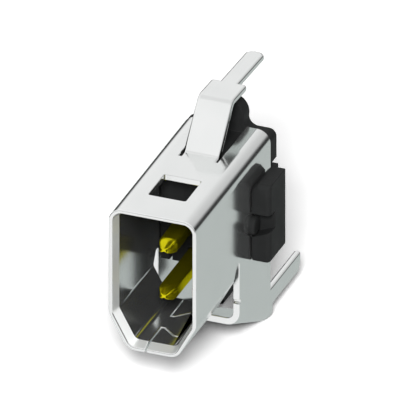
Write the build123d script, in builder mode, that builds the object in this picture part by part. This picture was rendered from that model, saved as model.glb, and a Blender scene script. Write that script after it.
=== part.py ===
from build123d import *
import os
from math import cos, radians, sin, tan

# Single pair socket for a circuit board: a folded sheet-metal shield, a moulded
# insulator that slides into it from behind, and two stacked contacts.
# Millimetres. Every sketch is drawn as on the product's drawing: across from the
# mid-plane, depth back from the mating face, and height up from the outer face of
# the mating section's floor. The three view planes below carry that drawing zero.
# The model's own origin is on the board face, midway between the two contacts.

# Shield sheet
sheet = 0.4
bend_radius = 0.8
shell_width = 5.2
shell_height = 8.73
corner_cut_width = 1.14
corner_cut_height = 2.09
mating_depth = 5.85
lead_in_depth = 0.65
lead_in_width = 0.18

# Seam in the floor, with its dovetail
seam_gap = 0.07
seam_offset = 0.39
seam_corner_depth = 2.36
dovetail_neck = 0.14
dovetail_front_depth = 1.7
dovetail_flare = 0.62
dovetail_reach = 0.95
dovetail_rear_depth = 4.5
dovetail_root_depth = 3.75
dovetail_rear_reach = 0.6

# Latch window in the top wall
window_width = 2.2
window_front = 2.24
window_length = 2.5
window_corner = 0.12

# Slit between the mating section and the rear section
slit_width = 0.78
slit_top = 2.87
slit_top_width = 0.36
slit_shoulder = 2.1
slit_corner = 0.12

# Rear section of the shield
rear_length = 4.78
rear_floor_drop = 1.19
rear_floor_angle = 25.3
leg_reach = 0.29
leg_corner = 0.6
relief_height = 0.36
relief_width = 0.2
relief_depth = 0.15

# Solder pins of the shield, one in the plane of each side wall
pin_reach = 3.7
pin_top_drop = 1.25
pin_height = 1.1
pin_root_radius = 0.1
pin_chamfer_length = 0.3
pin_chamfer_height = 0.45

# Spring tab folded up out of the top wall, ending in the third solder pin
tab_width = 2.1
tab_kerf = 0.1
kerf_setback = 0.37
tab_bend_setback = 0.6
tab_angle = 50.0
tab_rise = 2.52
tab_droop = 3.0
tab_bend = 0.45
tab_shoulder_reach = 0.39
tab_shoulder_corner = 0.2
tab_pin_width = 1.08
tab_pin_reach = 3.65
tab_pin_chamfer = 0.3

# Insulator
fit_gap = 0.05
block_setback = 0.2
block_bottom = 2.1
vent_width = 0.14
vent_height = 0.4
vent_offset = 1.55
vent_length = 1.0
keel_width = 1.0
keel_setback = 1.8
keel_bottom = -1.78
keel_edge = 0.2
flange_thickness = 0.89
flange_width = 4.6
flange_bottom = 0.1
ear_width = 5.2
ear_bottom = 6.63
ear_top = 8.41
ear_corner = 0.45
lobe_radius = 1.0
lobe_height = 9.2
lobe_blend = 0.55

# Lug of the insulator, outside one side wall
lug_reach = 1.14
lug_length = 2.4
lug_setback = 0.69
lug_bottom = 2.05
lug_top = 6.95
lug_edge = 0.3
web_setback = 1.3
web_bottom = 2.4
web_top = 6.3
web_corner = 0.1
notch_length = 0.82
notch_bottom = 4.06
notch_top = 5.08
notch_ramp = 0.48

# Round snap boss of the insulator, in a hole of the side wall
boss_setback = 0.2
boss_height = 4.3
boss_radius = 0.55
boss_rise = 0.32
boss_edge = 0.15

# Contacts
contact_width = 1.0
contact_thickness = 0.72
contact_pitch = 2.92
contact_low = 2.71
contact_edge = 0.1
contact_tip = 1.8
tip_width = 0.2
tip_thickness = 0.16
tip_edge = 0.03
tip_waist_length = 0.22
tip_waist_share = 0.62
tip_length = 0.8
shoulder_width = 1.4
shoulder_length = 2.3
shoulder_setback = 0.4
tail_width = 0.8
tail_reach = 3.65
tail_chamfer = 0.2
contact_gap = 0.03

# Worked-out sizes
half_width = shell_width / 2
inner_half = half_width - sheet
ceiling = shell_height - sheet
rear_front = mating_depth + slit_width
rear_end = rear_front + rear_length
body_depth = rear_end + flange_thickness
axis_height = contact_low + contact_pitch / 2
floor_slope = tan(radians(rear_floor_angle))
floor_lift = sheet / cos(radians(rear_floor_angle))
leg_end = rear_end + leg_reach
pin_end = body_depth + pin_reach
pin_bottom = -pin_top_drop - pin_height
block_front = rear_front + block_setback
block_half = inner_half - fit_gap
block_top = ceiling - fit_gap
lug_inner = half_width + fit_gap
lug_outer = half_width + lug_reach
lug_end = rear_end - lug_setback
lug_front = lug_end - lug_length
boss_depth = lug_front + boss_setback
web_front = lug_front + web_setback
contact_body = contact_tip + tip_length
shoulder_end = body_depth - shoulder_setback
shoulder_front = shoulder_end - shoulder_length
tail_end = body_depth + tail_reach

# View planes at the drawing zero: mating face, mid-plane, floor
zero = (0, -body_depth, -axis_height)
front_view = Plane(origin=zero, x_dir=(1, 0, 0), z_dir=(0, -1, 0))
side_view = Plane(origin=zero, x_dir=(0, 1, 0), z_dir=(1, 0, 0))
top_view = Plane(origin=zero, x_dir=(1, 0, 0), z_dir=(0, 0, 1))


def at_depth(depth):
    """Front view moved back to a depth behind the mating face."""
    return front_view.offset(-depth)


def mating_outline(inset=0.0):
    """Outline of the mating section: round top corners and two cut bottom corners."""
    flat = half_width - corner_cut_width
    with BuildSketch() as outline:
        with BuildLine():
            Polyline(
                (-half_width, corner_cut_height),
                (-flat, 0),
                (flat, 0),
                (half_width, corner_cut_height),
                (half_width, shell_height),
                (-half_width, shell_height),
                close=True,
            )
        make_face()
        fillet(outline.vertices(), radius=bend_radius)
        if inset:
            offset(amount=-inset, mode=Mode.REPLACE)
    return outline.sketch


def tall_outline(inset=0.0):
    """Outline of the rear section seen from the front: round top corners, walls going far down."""
    with BuildSketch() as outline:
        Rectangle(shell_width, 2 * shell_height)
        fillet(outline.vertices().group_by(Axis.Y)[-1], radius=bend_radius)
        if inset:
            offset(amount=-inset, mode=Mode.REPLACE)
    return outline.sketch


def rear_floor(depth):
    """Height of the rear floor's outer face, which slopes down to the rear."""
    return -rear_floor_drop - (depth - rear_front) * floor_slope


# Blank of the rear section: a box with round top bends and a floor that slopes down to
# the rear, with the floor's own two bends, trimmed to the legs and the side pins
slope_axis = Axis((0, 0, 0), (0, cos(radians(rear_floor_angle)), -sin(radians(rear_floor_angle))))
with BuildPart() as rear_blank:
    with BuildSketch(side_view):
        with BuildLine():
            Polyline(
                (rear_front, shell_height),
                (pin_end, shell_height),
                (pin_end, rear_floor(pin_end)),
                (rear_front, rear_floor(rear_front)),
                close=True,
            )
        make_face()
    extrude(amount=half_width, both=True)
    with BuildSketch(front_view):
        add(tall_outline())
    extrude(amount=-pin_end, mode=Mode.INTERSECT)
    fillet(rear_blank.edges().filter_by(slope_axis), radius=bend_radius)
    with BuildSketch(side_view) as rear_profile:
        with BuildLine():
            Polyline(
                (rear_front, shell_height),
                (rear_end, shell_height),
                (rear_end, -pin_top_drop),
                (pin_end, -pin_top_drop),
                (pin_end, pin_bottom + pin_chamfer_height),
                (pin_end - pin_chamfer_length, pin_bottom),
                (leg_end, pin_bottom),
                (leg_end, rear_floor(leg_end)),
                (rear_front, rear_floor(rear_front)),
                close=True,
            )
        make_face()
        fillet(rear_profile.vertices().group_by(Axis.Y)[0], radius=leg_corner)
        pin_root = rear_profile.vertices().sort_by_distance((leg_end, pin_bottom))[0]
        fillet(pin_root, radius=pin_root_radius)
    extrude(amount=half_width, both=True, mode=Mode.INTERSECT)

# Hollow of the rear section, open at the front and the rear
hollow_end = pin_end + sheet
with BuildPart() as rear_hollow:
    with BuildSketch(side_view):
        with BuildLine():
            Polyline(
                (rear_front, ceiling),
                (hollow_end, ceiling),
                (hollow_end, rear_floor(hollow_end) + floor_lift),
                (rear_front, rear_floor(rear_front) + floor_lift),
                close=True,
            )
        make_face()
    extrude(amount=inner_half, both=True)
    with BuildSketch(front_view):
        add(tall_outline(sheet))
    extrude(amount=-hollow_end, mode=Mode.INTERSECT)
    fillet(rear_hollow.edges().filter_by(slope_axis), radius=bend_radius - sheet)

# Spring tab, drawn as its mid-thickness line in the side view, then cut to its plan
with BuildPart() as spring_tab:
    kerf_front = rear_front + kerf_setback
    tab_root = shell_height - sheet / 2
    tab_top = tab_root + tab_rise
    slope_start = kerf_front + tab_bend_setback
    flat_start = slope_start + tab_rise / tan(radians(tab_angle))
    tab_end = body_depth + tab_pin_reach
    tab_tip = tab_top - (tab_end - flat_start) * tan(radians(tab_droop))
    with BuildSketch(side_view):
        with BuildLine():
            FilletPolyline(
                (kerf_front - sheet, tab_root),
                (slope_start, tab_root),
                (flat_start, tab_top),
                (tab_end, tab_tip),
                radius=tab_bend,
            )
        trace(line_width=sheet)
    extrude(amount=tab_width / 2, both=True)
    with BuildSketch(top_view) as tab_plan:
        shoulder_depth = rear_end + tab_shoulder_reach
        with Locations((0, shoulder_depth / 2)):
            Rectangle(tab_width, shoulder_depth)
        fillet(tab_plan.vertices().group_by(Axis.Y)[-1], radius=tab_shoulder_corner)
        with Locations((0, tab_end / 2)):
            Rectangle(tab_pin_width, tab_end)
        chamfer(tab_plan.vertices().group_by(Axis.Y)[-1], length=tab_pin_chamfer)
    extrude(amount=tab_top + 2 * sheet, mode=Mode.INTERSECT)

# Shield shell: one folded sheet. Its solid blank is hollowed so that every wall keeps
# the sheet's thickness through the bends, and then the openings are cut.
with BuildPart() as shield_shell:
    # Mating section, up to the rear section's front edge, then the rear section
    with BuildSketch(front_view):
        add(mating_outline())
    extrude(amount=-rear_front)
    add(rear_blank.part)
    with BuildSketch(front_view):
        add(mating_outline(sheet))
    extrude(amount=-rear_front, mode=Mode.SUBTRACT)
    add(rear_hollow.part, mode=Mode.SUBTRACT)

    # Lead-in around the mouth
    with BuildSketch(front_view):
        add(mating_outline(sheet - lead_in_width))
    with BuildSketch(at_depth(lead_in_depth)):
        add(mating_outline(sheet))
    loft(mode=Mode.SUBTRACT)

    # Slit that parts the mating section from the rear section, up to the slit's top
    with BuildSketch(side_view) as slit:
        with BuildLine():
            Polyline(
                (mating_depth, -sheet),
                (rear_front, -sheet),
                (rear_front, slit_top),
                (rear_front - slit_top_width, slit_top),
                (mating_depth, slit_shoulder),
                close=True,
            )
        make_face()
        fillet(slit.vertices().group_by(Axis.Y)[-1], radius=slit_corner)
    extrude(amount=half_width, both=True, mode=Mode.SUBTRACT)

    # Small relief in the front edge of each rear side wall
    with BuildSketch(side_view):
        with Locations((rear_front, relief_height)):
            Rectangle(2 * relief_depth, relief_width)
    extrude(amount=half_width, both=True, mode=Mode.SUBTRACT)

    # Seam in the floor: straight, round the dovetail, and straight again to the slit
    with BuildSketch(top_view.offset(-sheet)):
        with BuildLine():
            Polyline(
                (-seam_offset, -sheet),
                (-seam_offset, seam_corner_depth),
                (-dovetail_neck, seam_corner_depth),
                (dovetail_flare, dovetail_front_depth),
                (dovetail_reach, dovetail_front_depth),
                (dovetail_reach, dovetail_rear_depth),
                (dovetail_rear_reach, dovetail_rear_depth),
                (-dovetail_neck, dovetail_root_depth),
                (-seam_offset, dovetail_root_depth),
                (-seam_offset, mating_depth + sheet),
            )
        trace(line_width=seam_gap)
    extrude(amount=3 * sheet, mode=Mode.SUBTRACT)

    # The seam goes on through the sloping floor of the rear section
    seam_length = leg_end + sheet - mating_depth
    with BuildSketch(top_view.offset(rear_floor(leg_end) - sheet)):
        with Locations((-seam_offset, mating_depth + seam_length / 2)):
            Rectangle(seam_gap, seam_length)
    extrude(amount=slit_shoulder - rear_floor(leg_end), mode=Mode.SUBTRACT)

    # Latch window in the top wall
    with BuildSketch(top_view.offset(ceiling - sheet)):
        with Locations((0, window_front + window_length / 2)):
            RectangleRounded(window_width, window_length, window_corner)
    extrude(amount=3 * sheet, mode=Mode.SUBTRACT)

    # Opening that the spring tab leaves in the top wall, with a kerf each side of its root
    slot_length = rear_end + sheet - kerf_front
    with BuildSketch(top_view.offset(ceiling - sheet)):
        with Locations((0, kerf_front + slot_length / 2)):
            Rectangle(tab_width + 2 * tab_kerf, slot_length)
    extrude(amount=3 * sheet, mode=Mode.SUBTRACT)
    add(spring_tab.part)

    # Opening in one side wall, open to the rear, for the web of the insulator's lug
    opening_length = rear_end + sheet - web_front
    with BuildSketch(side_view) as web_opening:
        with Locations((web_front + opening_length / 2, (web_bottom + web_top) / 2)):
            Rectangle(opening_length, web_top - web_bottom)
        fillet(web_opening.vertices().group_by(Axis.X)[0], radius=web_corner)
    extrude(amount=half_width, mode=Mode.SUBTRACT)

    # Round hole in the same wall, which the insulator's boss snaps into
    with BuildSketch(side_view):
        with Locations((boss_depth, boss_height)):
            Circle(boss_radius + fit_gap)
    extrude(amount=half_width, mode=Mode.SUBTRACT)
shield_shell.part.label = "shield_shell"

# Insulator: one moulding, pushed into the shield from behind until its flange meets
# the rear edges of the walls
with BuildPart() as insulator:
    # Block that fills the shield behind the mating space
    with BuildSketch(at_depth(block_front)) as block_outline:
        with Locations((0, (block_bottom + block_top) / 2)):
            Rectangle(2 * block_half, block_top - block_bottom)
        fillet(block_outline.vertices().group_by(Axis.Y)[-1], radius=bend_radius - sheet - fit_gap)
    extrude(amount=block_front - rear_end)

    # Flange with two ears and a round lobe at the top, on the board side
    with BuildSketch(at_depth(rear_end)) as flange_outline:
        with Locations((0, (ear_bottom + ear_top) / 2)):
            Rectangle(ear_width, ear_top - ear_bottom)
        fillet(flange_outline.vertices().group_by(Axis.Y)[-1], radius=ear_corner)
        with Locations((0, (flange_bottom + ear_bottom) / 2)):
            Rectangle(flange_width, ear_bottom - flange_bottom)
        with Locations((0, lobe_height)):
            Circle(lobe_radius)
        lobe_roots = flange_outline.vertices().sort_by_distance((0, ear_top))[:2]
        fillet(lobe_roots, radius=lobe_blend)
    extrude(amount=-flange_thickness)

    # Lug outside the wall, rounded in front and below, bevelled where its top meets the wall
    with BuildSketch(at_depth(lug_front)) as lug_outline:
        with Locations(((lug_inner + lug_outer) / 2, (lug_bottom + lug_top) / 2)):
            Rectangle(lug_outer - lug_inner, lug_top - lug_bottom)
        chamfer(lug_outline.vertices().sort_by_distance((lug_inner, lug_top))[0], length=lug_edge)
        fillet(lug_outline.vertices().sort_by_distance((lug_outer, lug_bottom))[0], radius=lug_edge)
    extrude(amount=lug_front - lug_end)
    lug_face = insulator.faces().filter_by(Axis.Y).group_by(Axis.X)[-1].sort_by(Axis.Y)[0]
    fillet(lug_face.edges().sort_by(Axis.X)[1:], radius=lug_edge)

    # Web of the lug, through the side wall's opening and back to the flange
    web_half = (web_top - web_bottom) / 2 - fit_gap
    web_middle = (web_top + web_bottom) / 2
    web_length = body_depth - web_front - fit_gap
    with BuildSketch(side_view.offset(block_half - fit_gap)):
        with Locations((web_front + fit_gap + web_length / 2, web_middle)):
            Rectangle(web_length, 2 * web_half)
    extrude(amount=lug_inner + 2 * fit_gap - block_half)

    # Notch in the front of the lug, level with the snap boss
    with BuildSketch(at_depth(lug_front - lug_edge)):
        with BuildLine():
            Polyline(
                (half_width, notch_bottom - notch_ramp),
                (lug_outer, notch_bottom),
                (lug_outer, notch_top),
                (half_width, notch_top),
                close=True,
            )
        make_face()
    extrude(amount=-notch_length - lug_edge, mode=Mode.SUBTRACT)

    # Passage for each contact, with a wider pocket at the rear for its shoulders
    with BuildSketch(at_depth(block_front)):
        with Locations((0, contact_low), (0, contact_low + contact_pitch)):
            Rectangle(contact_width + 2 * contact_gap, contact_thickness + 2 * contact_gap)
    extrude(amount=block_front - body_depth, mode=Mode.SUBTRACT)
    with BuildSketch(at_depth(shoulder_front)):
        with Locations((0, contact_low), (0, contact_low + contact_pitch)):
            Rectangle(shoulder_width + 2 * contact_gap, contact_thickness + 2 * contact_gap)
    extrude(amount=shoulder_front - body_depth, mode=Mode.SUBTRACT)

    # Two narrow reliefs in the front lower edge of the block
    with BuildSketch(at_depth(block_front)):
        with Locations((-vent_offset, block_bottom), (vent_offset, block_bottom)):
            Rectangle(vent_width, 2 * vent_height)
    extrude(amount=-vent_length, mode=Mode.SUBTRACT)

    # Keel under the block, over the shield's sloping floor
    with BuildSketch(at_depth(rear_end - keel_setback)) as keel_outline:
        with Locations((0, (keel_bottom + block_bottom) / 2)):
            Rectangle(keel_width, block_bottom - keel_bottom)
        fillet(keel_outline.vertices().group_by(Axis.Y)[0], radius=keel_edge)
    extrude(amount=-keel_setback - flange_thickness)

    # Snap boss on the block's side, out through the hole in the shield's wall
    with BuildSketch(side_view.offset(block_half)):
        with Locations((boss_depth, boss_height)):
            Circle(boss_radius)
    extrude(amount=half_width + boss_rise - block_half)
    boss_tip = (half_width + boss_rise, boss_depth - body_depth, boss_height - axis_height)
    boss_face = insulator.faces().sort_by_distance(boss_tip)[0]
    fillet(boss_face.edges(), radius=boss_edge)
insulator.part.label = "insulator"

os.makedirs("parts", exist_ok=True)
export_step(shield_shell.part, "parts/shield_shell.step")
export_step(insulator.part, "parts/insulator.step")

# Contacts: each is stamped from thick strip with rounded edges, and has a coined tip,
# shoulders that stop in the insulator's pocket, and a solder tail
for name, height in (("contact_lower", contact_low), ("contact_upper", contact_low + contact_pitch)):
    with BuildPart() as contact:
        with BuildSketch(top_view.offset(height - contact_thickness / 2)) as strip:
            with Locations((0, (contact_body + tail_end) / 2)):
                Rectangle(tail_width, tail_end - contact_body)
            chamfer(strip.vertices().group_by(Axis.Y)[-1], length=tail_chamfer)
            with Locations((0, (contact_body + shoulder_end) / 2)):
                Rectangle(contact_width, shoulder_end - contact_body)
            with Locations((0, (shoulder_front + shoulder_end) / 2)):
                Rectangle(shoulder_width, shoulder_end - shoulder_front)
        extrude(amount=contact_thickness)
        fillet(contact.edges().filter_by(Axis.Y), radius=contact_edge)
        with BuildSketch(at_depth(contact_tip)):
            with Locations((0, height)):
                RectangleRounded(tip_width, tip_thickness, tip_edge)
        with BuildSketch(at_depth(contact_tip + tip_waist_length)):
            with Locations((0, height)):
                RectangleRounded(
                    tip_waist_share * contact_width,
                    tip_waist_share * contact_thickness,
                    contact_edge / 2,
                )
        with BuildSketch(at_depth(contact_body)):
            with Locations((0, height)):
                RectangleRounded(contact_width, contact_thickness, contact_edge)
        loft()
    contact.part.label = name
    export_step(contact.part, f"parts/{name}.step")
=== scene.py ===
import math

import bmesh
import bpy
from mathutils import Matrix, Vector


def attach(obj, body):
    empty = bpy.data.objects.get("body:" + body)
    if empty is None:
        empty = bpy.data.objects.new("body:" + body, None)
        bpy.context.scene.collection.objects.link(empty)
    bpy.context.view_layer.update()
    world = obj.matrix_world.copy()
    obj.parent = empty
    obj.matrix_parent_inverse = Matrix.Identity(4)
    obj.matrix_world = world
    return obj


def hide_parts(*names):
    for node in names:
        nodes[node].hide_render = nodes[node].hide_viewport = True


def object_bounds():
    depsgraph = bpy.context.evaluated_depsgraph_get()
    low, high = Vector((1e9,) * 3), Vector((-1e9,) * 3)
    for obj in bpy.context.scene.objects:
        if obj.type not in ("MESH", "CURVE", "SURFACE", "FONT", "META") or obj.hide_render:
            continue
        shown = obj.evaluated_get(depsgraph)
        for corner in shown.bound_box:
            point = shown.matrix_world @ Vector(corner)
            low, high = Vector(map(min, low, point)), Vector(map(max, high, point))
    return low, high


# Single pair socket for a circuit board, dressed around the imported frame.
# Metres, in the row frame: +Y out of the board face, +Z up, the mouth at -Y.
MM = 0.001

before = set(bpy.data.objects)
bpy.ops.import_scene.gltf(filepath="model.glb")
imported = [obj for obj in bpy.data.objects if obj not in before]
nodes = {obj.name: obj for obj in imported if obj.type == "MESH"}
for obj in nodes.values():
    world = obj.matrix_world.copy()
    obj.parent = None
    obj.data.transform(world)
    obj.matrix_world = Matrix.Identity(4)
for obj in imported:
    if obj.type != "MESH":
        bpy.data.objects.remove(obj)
cad_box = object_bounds()
cad_low, cad_high = cad_box

# The photograph's view, a parallel projection
VIEW_AZIMUTH = math.radians(21.3)
VIEW_ELEVATION = math.radians(29.1)
VIEW_CENTRE = Vector((2.551, -10.956, 5.144)) * MM
PHOTO_PIXELS = 408
PIXELS_PER_MM = 18.1
CAMERA_DISTANCE = 0.2
CAMERA_NEAR = 0.001
CAMERA_FAR = 2.0

# Clean-up of the meshes, and the angles at which an edge is rounded or shaded sharp
WELD_DISTANCE = 1e-7
SAME_LENGTH = 1e-6
FLAT_ANGLE = math.radians(0.5)
SHADED_ANGLE = math.radians(14)
ROUNDED_ANGLE = math.radians(30)

# Rounding that stamping and moulding leave: wider on the long edges of the tab and the pins
SHEET_THICKNESS = 0.4 * MM
SHEET_EDGE = 0.06 * MM
SLENDER_EDGE = 0.15 * MM
MOULDED_EDGE = 0.05 * MM
CONTACT_EDGE = 0.03 * MM
EDGE_SEGMENTS = 2

# Where the spring tab and the side pins are
TAB_HALF_WIDTH = 1.1 * MM
TAB_FRONT = -5.3 * MM
TAB_BOTTOM = 4.2 * MM
SIDE_PIN_TOP = -5.4 * MM
SIDE_PIN_BOTTOM = -6.55 * MM
SIDE_PIN_FRONT = -1.0 * MM
SIDE_PIN_SHORTEST = 0.5 * MM

# Coined contact tip: the contact's section drawn forward to a small four-armed star
TIP_LENGTH = 0.8 * MM
TIP_HALF_WIDTH = 0.5 * MM
TIP_HALF_HEIGHT = 0.36 * MM
TIP_CORNER = 0.1 * MM
TIP_END_SHARE = 0.42
TIP_CURVE = 2.3
TIP_HOLLOW = 0.42
TIP_RINGS = 12
SIDE_STEPS = 6
CORNER_STEPS = 8

# Plating on the shield and the contacts: noise scales are in features per metre
METAL_SHARE = 0.96
METAL_TONE_SCALE = 350.0
METAL_TONE_STOPS = (0.3, 0.7)
METAL_GLOSS_SCALE = 900.0
ROLLING_SCALE = 9000.0
ROLLING_STRETCH = (1.0, 0.06, 1.0)
ROLLING_STRENGTH = 0.05
ROLLING_DEPTH = 0.002 * MM
BRIGHT_TONES = ((0.85, 0.865, 0.86, 1.0), (0.89, 0.90, 0.895, 1.0))
BRIGHT_ROUGHNESS = (0.11, 0.16)
GOLD_TONES = ((0.74, 0.66, 0.008, 1.0), (0.82, 0.74, 0.012, 1.0))
GOLD_ROUGHNESS = (0.20, 0.28)
GOLD_GLANCING_TINT = (1.0, 0.93, 0.2, 1.0)

# Satin, coined finish of the lead-in round the mouth, duller in two opposite corners
LEAD_IN_END = cad_low.y + 0.66 * MM
LEAD_IN_NORMAL_Y = -0.27
LEAD_IN_NORMAL_SPREAD = 0.15
COINED_SHARE = 0.68
CORNER_SHARE = 0.2
CORNER_SLANT = 0.35
COINED_ROUGHNESS = 0.4

# Black moulding
BLACK_TONES = ((0.013, 0.0136, 0.0136, 1.0), (0.019, 0.0197, 0.0197, 1.0))
BLACK_TONE_SCALE = 500.0
BLACK_TONE_STOPS = (0.35, 0.65)
BLACK_SPECULAR = 0.06
BLACK_GLOSS_SCALE = 1500.0
BLACK_ROUGHNESS = (0.42, 0.55)
GRAIN_SCALE = 14000.0
GRAIN_DETAIL = 4.0
GRAIN_STRENGTH = 0.12
GRAIN_DEPTH = 0.004 * MM

# Levels of the even light and of the studio that the metal sees
WHITE = (1.0, 1.0, 1.0, 1.0)
WORLD_LIGHT = 0.26
SKY_FRONT = 0.93
SKY_ZENITH = 0.78
SKY_LEFT = 0.935
SKY_RIGHT = 0.575
HORIZON_GLOSS = 0.008
TABLE_FRONT = 0.92
TABLE_BACK = 0.52
TABLE_TINT = (0.93, 1.0, 0.975, 1.0)

# Steps between those levels, along the components of a direction
HORIZON_TILT = (-0.12, 0.0, 1.0)
FRONT_TO_BACK = (-0.15, 0.15)
LEFT_TO_RIGHT = (-0.6, 0.6)
SKY_FRONT_STEP = (-0.7, 0.0)
ZENITH_STEP = (0.82, 0.96)
TABLE_STEP = (-0.28, -0.14)
SKY_STEP = (0.0, 0.30)
TINT_STEP = (-0.2, 0.1)

# What the metal throws back on to matt surfaces is dimmer: its level, and the diffuse depth
# over which a ray has met such a surface
BOUNCED_GLOSS = 0.04
MATT_BOUNCE_DEPTH = 0.5

# Floor: its size, its colour to the camera and to other light, and a faint glow that lifts
# its shadow
FLOOR_SIZE = 0.4
FLOOR_SEEN = (1.2, 1.2, 1.2, 1.0)
FLOOR_BOUNCE = (0.5, 0.5, 0.5, 1.0)
FLOOR_FILL = 0.015

# Lamps: place, size and power
KEY_LAMP = ((0.086, -0.259, 0.185), 0.075, 1.5)
FILL_LAMP = ((-0.120, -0.180, 0.240), 0.12, 0.16)


# Small helpers for node trees. A value is a number, a vector, a colour or another node's output.

def feed(tree, socket, value):
    """Sets a socket to a value, or links it to another node's output."""
    if isinstance(value, bpy.types.NodeSocket):
        tree.links.new(value, socket)
    else:
        socket.default_value = value


def calculate(tree, operation, *values):
    """The result of one arithmetic step."""
    node = tree.nodes.new("ShaderNodeMath")
    node.operation = operation
    for socket, value in zip(node.inputs, values):
        feed(tree, socket, value)
    return node.outputs["Value"]


def mix(tree, factor, first, second, kind="FLOAT"):
    """The first value where the factor is 0, the second where it is 1."""
    node = tree.nodes.new("ShaderNodeMix")
    node.data_type = kind
    feed(tree, node.inputs["Factor"], factor)
    feed(tree, node.inputs["A"], first)
    feed(tree, node.inputs["B"], second)
    return node.outputs["Result"]


def remap(tree, source, bounds, levels, curve="LINEAR"):
    """The source's range between two bounds, mapped to two levels."""
    node = tree.nodes.new("ShaderNodeMapRange")
    node.interpolation_type = curve
    feed(tree, node.inputs["Value"], source)
    for name, value in zip(("From Min", "From Max", "To Min", "To Max"), bounds + levels):
        feed(tree, node.inputs[name], value)
    return node.outputs["Result"]


def smooth_step(tree, source, bounds, levels):
    """A smooth step from one level to the other, between two bounds of the source."""
    return remap(tree, source, bounds, levels, "SMOOTHSTEP")


def components(tree, source):
    """The X, Y and Z outputs of a vector."""
    node = tree.nodes.new("ShaderNodeSeparateXYZ")
    tree.links.new(source, node.inputs["Vector"])
    return [node.outputs[name] for name in "XYZ"]


def noise(tree, scale, detail=3.0, stretch=(1.0, 1.0, 1.0)):
    """A noise pattern in object space."""
    place = tree.nodes.new("ShaderNodeTexCoord")
    mapping = tree.nodes.new("ShaderNodeMapping")
    mapping.inputs["Scale"].default_value = stretch
    texture = tree.nodes.new("ShaderNodeTexNoise")
    texture.inputs["Scale"].default_value = scale
    texture.inputs["Detail"].default_value = detail
    tree.links.new(place.outputs["Object"], mapping.inputs["Vector"])
    tree.links.new(mapping.outputs["Vector"], texture.inputs["Vector"])
    return texture.outputs["Fac"]


def blotch(tree, source, stops, tones):
    """A colour that varies between two tones with a pattern."""
    node = tree.nodes.new("ShaderNodeValToRGB")
    for element, position, tone in zip(node.color_ramp.elements, stops, tones):
        element.position = position
        element.color = tone
    tree.links.new(source, node.inputs["Fac"])
    return node.outputs["Color"]


def relief(tree, source, strength, depth):
    """A surface normal with a pattern's fine relief."""
    node = tree.nodes.new("ShaderNodeBump")
    node.inputs["Strength"].default_value = strength
    node.inputs["Distance"].default_value = depth
    tree.links.new(source, node.inputs["Height"])
    return node.outputs["Normal"]


# Materials

def new_material(name):
    """A node material with its Principled shader."""
    material = bpy.data.materials.new(name)
    material.use_nodes = True
    return material, material.node_tree, material.node_tree.nodes["Principled BSDF"]


def plated_metal(name, tones, roughness):
    """Bright plating with cloudy tone, cloudy gloss and faint rolling marks."""
    material, tree, shader = new_material(name)
    tone = noise(tree, METAL_TONE_SCALE)
    gloss = noise(tree, METAL_GLOSS_SCALE)
    marks = noise(tree, ROLLING_SCALE, stretch=ROLLING_STRETCH)
    feed(tree, shader.inputs["Base Color"], blotch(tree, tone, METAL_TONE_STOPS, tones))
    feed(tree, shader.inputs["Metallic"], METAL_SHARE)
    feed(tree, shader.inputs["Roughness"], remap(tree, gloss, (0.0, 1.0), roughness))
    feed(tree, shader.inputs["Normal"], relief(tree, marks, ROLLING_STRENGTH, ROLLING_DEPTH))
    return material


def coin_mouth(material):
    """Gives the faces that lean towards the mouth, within the lead-in, a satin, coined finish."""
    tree = material.node_tree
    shader = tree.nodes["Principled BSDF"]
    geometry = tree.nodes.new("ShaderNodeNewGeometry")
    normal_x, normal_y, normal_z = components(tree, geometry.outputs["Normal"])
    place_y = components(tree, geometry.outputs["Position"])[1]
    leaning = calculate(tree, "COMPARE", normal_y, LEAD_IN_NORMAL_Y, LEAD_IN_NORMAL_SPREAD)
    near_mouth = calculate(tree, "LESS_THAN", place_y, LEAD_IN_END)
    coined = calculate(tree, "MULTIPLY", leaning, near_mouth)
    slant = calculate(tree, "MULTIPLY", normal_x, normal_z)
    coined_share = remap(tree, slant, (0.0, CORNER_SLANT), (COINED_SHARE, CORNER_SHARE))
    plain_roughness = shader.inputs["Roughness"].links[0].from_socket
    feed(tree, shader.inputs["Metallic"], mix(tree, coined, METAL_SHARE, coined_share))
    feed(tree, shader.inputs["Roughness"], mix(tree, coined, plain_roughness, COINED_ROUGHNESS))


def moulded_plastic(name, tones, roughness):
    """Black satin moulding with a fine spark-eroded grain."""
    material, tree, shader = new_material(name)
    tone = noise(tree, BLACK_TONE_SCALE)
    gloss = noise(tree, BLACK_GLOSS_SCALE)
    grain = noise(tree, GRAIN_SCALE, detail=GRAIN_DETAIL)
    feed(tree, shader.inputs["Base Color"], blotch(tree, tone, BLACK_TONE_STOPS, tones))
    feed(tree, shader.inputs["Specular IOR Level"], BLACK_SPECULAR)
    feed(tree, shader.inputs["Roughness"], remap(tree, gloss, (0.0, 1.0), roughness))
    feed(tree, shader.inputs["Normal"], relief(tree, grain, GRAIN_STRENGTH, GRAIN_DEPTH))
    return material


# Meshes

def is_slender(edge):
    """Tells the long edges of the spring tab and of the solder pins from all other edges."""
    places = [vertex.co for vertex in edge.verts]
    length = (places[1] - places[0]).length
    if abs(length - SHEET_THICKNESS) < SAME_LENGTH:
        return False
    on_tab = all(
        abs(at.x) < TAB_HALF_WIDTH and at.y > TAB_FRONT and at.z > TAB_BOTTOM
        for at in places
    )
    on_side_pin = all(
        at.y > SIDE_PIN_FRONT and SIDE_PIN_BOTTOM < at.z < SIDE_PIN_TOP
        for at in places
    )
    return on_tab or (on_side_pin and length > SIDE_PIN_SHORTEST)


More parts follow.
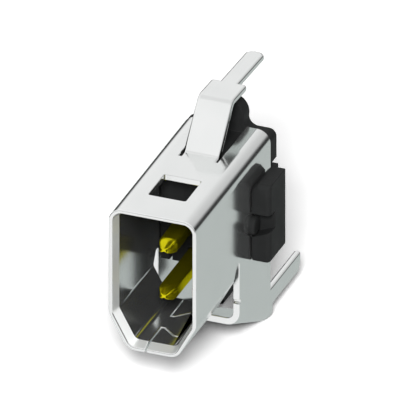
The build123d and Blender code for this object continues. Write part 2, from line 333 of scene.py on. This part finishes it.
def tip_section():
    """Points round a contact's section, each with its hollow: none at a corner, most in mid-side."""
    width = TIP_HALF_WIDTH - TIP_CORNER
    height = TIP_HALF_HEIGHT - TIP_CORNER
    signs = ((1, 1), (-1, 1), (-1, -1), (1, -1))
    centres = [Vector((across * width, up * height)) for across, up in signs]
    points = []
    for quarter, centre in enumerate(centres):
        for step in range(CORNER_STEPS + 1):
            turn = math.radians(90) * (quarter + step / CORNER_STEPS)
            points.append((centre + TIP_CORNER * Vector((math.cos(turn), math.sin(turn))), 0.0))
        start = points[-1][0]
        side = centres[(quarter + 1) % len(centres)] - centre
        for step in range(1, SIDE_STEPS):
            share = step / SIDE_STEPS
            points.append((start + side * share, math.sin(math.pi * share)))
    return points


def coin_tip(shape):
    """Cuts the plain tip off a contact and puts one with four ridges in its place."""
    front = min(vertex.co.y for vertex in shape.verts)
    heights = [vertex.co.z for vertex in shape.verts if vertex.co.y < front + WELD_DISTANCE]
    middle = (min(heights) + max(heights)) / 2
    base = front + TIP_LENGTH
    bmesh.ops.bisect_plane(
        shape,
        geom=shape.verts[:] + shape.edges[:] + shape.faces[:],
        plane_co=(0, base, 0),
        plane_no=(0, -1, 0),
        clear_outer=True,
    )
    section = tip_section()
    rings = []
    for number in range(TIP_RINGS + 1):
        share = number / TIP_RINGS
        size = 1 - (1 - TIP_END_SHARE) * share ** TIP_CURVE
        ring = []
        for place, hollow in section:
            drawn = place * size * (1 - TIP_HOLLOW * hollow * share)
            ring.append(shape.verts.new((drawn.x, base - TIP_LENGTH * share, middle + drawn.y)))
        rings.append(ring)
    for ring, next_ring in zip(rings, rings[1:]):
        for at in range(len(ring)):
            shape.faces.new((ring[at - 1], ring[at], next_ring[at], next_ring[at - 1]))
    shape.faces.new(rings[-1])
    bmesh.ops.recalc_face_normals(shape, faces=shape.faces)


def weigh_edges(shape, plain_weight, outer_only):
    """Marks the sharp edges for rounding: slender ones in full, the others with the plain weight."""
    weight = shape.edges.layers.float.new("bevel_weight_edge")
    for edge in shape.edges:
        sharp = edge.is_manifold and edge.calc_face_angle() > ROUNDED_ANGLE
        if sharp and (edge.is_convex or not outer_only):
            edge[weight] = 1.0 if is_slender(edge) else plain_weight


def finished_piece(node, name, material, rounding, slender_rounding=None, coined=False):
    """A copy of a CAD node's mesh with its sharp edges rounded, which stands for the node."""
    widest = slender_rounding or rounding
    mesh = bpy.data.meshes.new(name)
    shape = bmesh.new()
    shape.from_mesh(nodes[node].data)
    bmesh.ops.remove_doubles(shape, verts=shape.verts, dist=WELD_DISTANCE)
    bmesh.ops.dissolve_limit(shape, angle_limit=FLAT_ANGLE, verts=shape.verts, edges=shape.edges)
    if coined:
        coin_tip(shape)
    weigh_edges(shape, rounding / widest, outer_only=coined)
    shape.to_mesh(mesh)
    shape.free()
    mesh.shade_smooth()
    mesh.set_sharp_from_angle(angle=SHADED_ANGLE)
    mesh.materials.clear()
    mesh.materials.append(material)
    piece = bpy.data.objects.new(name, mesh)
    bpy.context.scene.collection.objects.link(piece)
    bevel = piece.modifiers.new("rounded_edges", "BEVEL")
    bevel.width = widest
    bevel.segments = EDGE_SEGMENTS
    bevel.limit_method = "WEIGHT"
    bevel.use_clamp_overlap = False
    bevel.harden_normals = True
    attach(piece, "root")
    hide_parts(node)


# Studio

def reflected_level(tree, direction, rise):
    """What the metal sees: a bright sky over a dark band at the horizon, with a bright table
    in front and a grey one behind."""
    across, along, up = direction
    table = smooth_step(tree, along, FRONT_TO_BACK, (TABLE_FRONT, TABLE_BACK))
    sides = smooth_step(tree, across, LEFT_TO_RIGHT, (SKY_LEFT, SKY_RIGHT))
    walls = smooth_step(tree, along, SKY_FRONT_STEP, (SKY_FRONT, sides))
    sky = smooth_step(tree, up, ZENITH_STEP, (walls, SKY_ZENITH))
    below = smooth_step(tree, rise, TABLE_STEP, (table, HORIZON_GLOSS))
    return smooth_step(tree, rise, SKY_STEP, (below, sky))


def studio_world():
    """Even soft light for the scene, the reflected studio for gloss, and white for the camera."""
    world = bpy.data.worlds.new("studio")
    bpy.context.scene.world = world
    world.use_nodes = True
    tree = world.node_tree
    tree.nodes.clear()
    ray = tree.nodes.new("ShaderNodeLightPath").outputs
    towards = tree.nodes.new("ShaderNodeTexCoord").outputs["Generated"]
    direction = components(tree, towards)
    tilt = tree.nodes.new("ShaderNodeVectorMath")
    tilt.operation = "DOT_PRODUCT"
    feed(tree, tilt.inputs[0], towards)
    feed(tree, tilt.inputs[1], HORIZON_TILT)
    rise = tilt.outputs["Value"]

    bounced = calculate(tree, "GREATER_THAN", ray["Diffuse Depth"], MATT_BOUNCE_DEPTH)
    gloss = mix(tree, bounced, reflected_level(tree, direction, rise), BOUNCED_GLOSS)
    light = mix(tree, ray["Is Glossy Ray"], WORLD_LIGHT, gloss)
    level = mix(tree, ray["Is Camera Ray"], light, 1.0)

    behind = smooth_step(tree, direction[1], FRONT_TO_BACK, (0.0, 1.0))
    behind_below = smooth_step(tree, rise, TINT_STEP, (behind, 0.0))
    tinted = calculate(tree, "MULTIPLY", behind_below, ray["Is Glossy Ray"])

    background = tree.nodes.new("ShaderNodeBackground")
    feed(tree, background.inputs["Color"], mix(tree, tinted, WHITE, TABLE_TINT, "RGBA"))
    feed(tree, background.inputs["Strength"], level)
    output = tree.nodes.new("ShaderNodeOutputWorld")
    feed(tree, output.inputs["Surface"], background.outputs["Background"])


def pale_floor():
    """Matt floor, level with the lowest edge of the shield's legs and unseen by the metal."""
    bpy.ops.mesh.primitive_plane_add(size=FLOOR_SIZE, location=(0, 0, cad_low.z))
    floor = bpy.context.object
    floor.name = "floor"
    material, tree, shader = new_material("pale_floor")
    to_camera = tree.nodes.new("ShaderNodeLightPath").outputs["Is Camera Ray"]
    colour = mix(tree, to_camera, FLOOR_BOUNCE, FLOOR_SEEN, "RGBA")
    glow = calculate(tree, "MULTIPLY", to_camera, FLOOR_FILL)
    feed(tree, shader.inputs["Base Color"], colour)
    feed(tree, shader.inputs["Roughness"], 1.0)
    feed(tree, shader.inputs["Specular IOR Level"], 0.0)
    feed(tree, shader.inputs["Emission Color"], WHITE)
    feed(tree, shader.inputs["Emission Strength"], glow)
    floor.data.materials.append(material)
    floor.visible_glossy = False


def softbox(name, place, size, power):
    """A square area lamp that looks at the middle of the object."""
    data = bpy.data.lights.new(name, "AREA")
    data.shape = "SQUARE"
    data.size = size
    data.energy = power
    lamp = bpy.data.objects.new(name, data)
    bpy.context.scene.collection.objects.link(lamp)
    lamp.location = place
    aim = (cad_low + cad_high) / 2 - Vector(place)
    lamp.rotation_mode = "QUATERNION"
    lamp.rotation_quaternion = aim.to_track_quat("-Z", "Y")
    lamp.visible_camera = False
    lamp.visible_glossy = False


def photograph_camera():
    """A parallel camera at the photograph's angle and scale."""
    towards = Vector((
        math.sin(VIEW_AZIMUTH) * math.cos(VIEW_ELEVATION),
        -math.cos(VIEW_AZIMUTH) * math.cos(VIEW_ELEVATION),
        math.sin(VIEW_ELEVATION),
    ))
    data = bpy.data.cameras.new("camera")
    data.type = "ORTHO"
    data.ortho_scale = PHOTO_PIXELS / PIXELS_PER_MM * MM
    data.clip_start = CAMERA_NEAR
    data.clip_end = CAMERA_FAR
    camera = bpy.data.objects.new("camera", data)
    bpy.context.scene.collection.objects.link(camera)
    camera.location = VIEW_CENTRE + towards * CAMERA_DISTANCE
    camera.rotation_mode = "QUATERNION"
    camera.rotation_quaternion = (-towards).to_track_quat("-Z", "Y")
    bpy.context.scene.camera = camera


plating = plated_metal("bright_plating", BRIGHT_TONES, BRIGHT_ROUGHNESS)
coin_mouth(plating)
gold = plated_metal("gold_plating", GOLD_TONES, GOLD_ROUGHNESS)
gold.node_tree.nodes["Principled BSDF"].inputs["Specular Tint"].default_value = GOLD_GLANCING_TINT
black = moulded_plastic("black_moulding", BLACK_TONES, BLACK_ROUGHNESS)

finished_piece("shield_shell", "folded_shield", plating, SHEET_EDGE, slender_rounding=SLENDER_EDGE)
finished_piece("insulator", "moulded_insulator", black, MOULDED_EDGE)
finished_piece("contact_lower", "lower_contact", gold, CONTACT_EDGE, coined=True)
finished_piece("contact_upper", "upper_contact", gold, CONTACT_EDGE, coined=True)

studio_world()
pale_floor()
softbox("key", *KEY_LAMP)
softbox("fill", *FILL_LAMP)
photograph_camera()
bpy.context.scene.view_settings.view_transform = "Standard"
